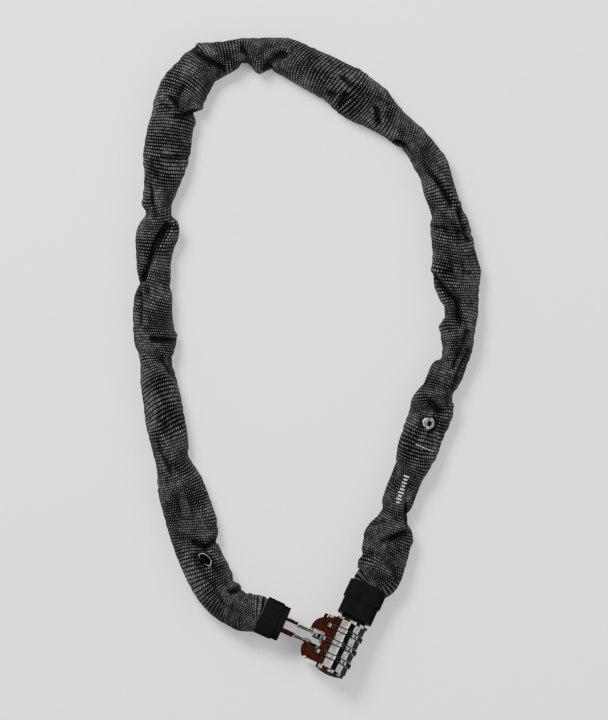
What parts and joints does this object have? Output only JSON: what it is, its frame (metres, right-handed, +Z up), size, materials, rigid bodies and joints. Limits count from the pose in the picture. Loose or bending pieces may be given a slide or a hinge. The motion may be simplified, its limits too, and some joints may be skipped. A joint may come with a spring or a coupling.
{
  "type": "chain lock",
  "caption": "Closed bicycle chain lock: long steel links in a black woven sleeve, stepped end collars and a chrome combination head with number dials.",
  "frame": {"origin": "middle of the object's footprint, on the surface that it lies on", "axes": "+Z up from the surface, +Y along the loop from the lock head to its far end, +X to the right"},
  "size_m": [0.2098, 0.3888, 0.0341],
  "materials": {
    "chrome": "polished",
    "dial_chrome": "polished with dark recesses",
    "black_plastic": "satin moulded",
    "black_fabric": "woven nylon",
    "chain_steel": "zinc plated",
    "brass": "turned",
    "spring_steel": "drawn wire"
  },
  "bodies": {
    "root": {"housing": "chrome", "end_cap": "chrome", "flange_washer": "chrome", "centre_tube": "chain_steel", "spindle_spring": "spring_steel", "detent_balls": "spring_steel", "detent_springs": "spring_steel", "right_collar": "black_plastic", "right_anchor": "chain_steel", "right_pin": "chain_steel", "sleeve_1": "black_fabric", "chain_link_01": "chain_steel", "chain_link_02": "chain_steel", "chain_link_03": "chain_steel"},
    "chain_section_2": {"sleeve_2": "black_fabric", "chain_link_04": "chain_steel", "chain_link_05": "chain_steel", "sleeve_snap_right": "chrome"},
    "chain_section_3": {"sleeve_3": "black_fabric", "chain_link_06": "chain_steel", "chain_link_07": "chain_steel", "chain_link_08": "chain_steel", "chain_link_09": "chain_steel"},
    "chain_section_4": {"sleeve_4": "black_fabric", "chain_link_10": "chain_steel", "chain_link_11": "chain_steel", "chain_link_12": "chain_steel", "chain_link_13": "chain_steel"},
    "chain_section_5": {"sleeve_5": "black_fabric", "chain_link_14": "chain_steel", "chain_link_15": "chain_steel", "chain_link_16": "chain_steel", "chain_link_17": "chain_steel"},
    "chain_section_6": {"sleeve_6": "black_fabric", "chain_link_18": "chain_steel", "chain_link_19": "chain_steel", "chain_link_20": "chain_steel", "chain_link_21": "chain_steel"},
    "chain_section_7": {"sleeve_7": "black_fabric", "chain_link_22": "chain_steel", "chain_link_23": "chain_steel", "chain_link_24": "chain_steel"},
    "chain_section_8": {"sleeve_8": "black_fabric", "chain_link_25": "chain_steel", "chain_link_26": "chain_steel", "chain_link_27": "chain_steel", "sleeve_snap_left": "chrome", "left_collar": "black_plastic", "left_pin": "chain_steel", "bolt": "chrome"},
    "dial_1": {"dial_1": "dial_chrome", "dial_hub_1": "brass"},
    "dial_2": {"dial_2": "dial_chrome", "dial_hub_2": "brass"},
    "dial_3": {"dial_3": "dial_chrome", "dial_hub_3": "brass"},
    "spindle": {"spindle": "chain_steel"}
  },
  "joints": [
    {"name": "dial_1_turn", "type": "hinge", "parent": "root", "child": "dial_1", "pos_m": [0.02035, -0.16516, 0.01701], "axis": [-0.4159, -0.8959, 0.1564], "continuous": true},
    {"name": "dial_2_turn", "type": "hinge", "parent": "root", "child": "dial_2", "pos_m": [0.01681, -0.17278, 0.01834], "axis": [-0.4159, -0.8959, 0.1564], "continuous": true},
    {"name": "dial_3_turn", "type": "hinge", "parent": "root", "child": "dial_3", "pos_m": [0.01324, -0.18048, 0.01969], "axis": [-0.4159, -0.8959, 0.1564], "continuous": true},
    {"name": "spindle_slide", "type": "slide", "parent": "root", "child": "spindle", "axis": [0.4159, 0.8959, -0.1564], "range_m": [0, 0.0021]},
    {"name": "chain_flex_1", "type": "hinge", "parent": "root", "child": "chain_section_2", "pos_m": [0.06312, -0.06463, 0.011], "axis": [0, 0, -1], "range_deg": [0, 5]},
    {"name": "chain_flex_2", "type": "hinge", "parent": "chain_section_2", "child": "chain_section_3", "pos_m": [0.08316, -0.00844, 0.011], "axis": [0, 0, -1], "range_deg": [0, 14]},
    {"name": "chain_flex_3", "type": "hinge", "parent": "chain_section_3", "child": "chain_section_4", "pos_m": [0.07883, 0.10797, 0.011], "axis": [0, 0, -1], "range_deg": [0, 14]},
    {"name": "chain_flex_4", "type": "hinge", "parent": "chain_section_4", "child": "chain_section_5", "pos_m": [-0.01147, 0.18195, 0.011], "axis": [0, 0, -1], "range_deg": [0, 9]},
    {"name": "chain_flex_5", "type": "hinge", "parent": "chain_section_5", "child": "chain_section_6", "pos_m": [-0.08666, 0.11535, 0.011], "axis": [0, 0, -1], "range_deg": [-5, 0]},
    {"name": "chain_flex_6", "type": "hinge", "parent": "chain_section_6", "child": "chain_section_7", "pos_m": [-0.091, -0.00352, 0.011], "axis": [0, 0, -1], "range_deg": [-6, 0]},
    {"name": "chain_flex_7", "type": "hinge", "parent": "chain_section_7", "child": "chain_section_8", "pos_m": [-0.07158, -0.09711, 0.011], "axis": [0, 0, -1], "range_deg": [-6, 0]}
  ],
  "couplings": [
    {"joint": "chain_flex_1", "follows": "chain_flex_3", "ratio": 0.3},
    {"joint": "chain_flex_2", "follows": "chain_flex_3", "ratio": 0.93},
    {"joint": "chain_flex_4", "follows": "chain_flex_3", "ratio": 0.6},
    {"joint": "chain_flex_5", "follows": "chain_flex_3", "ratio": -0.26},
    {"joint": "chain_flex_6", "follows": "chain_flex_3", "ratio": -0.35},
    {"joint": "chain_flex_7", "follows": "chain_flex_3", "ratio": -0.39}
  ]
}
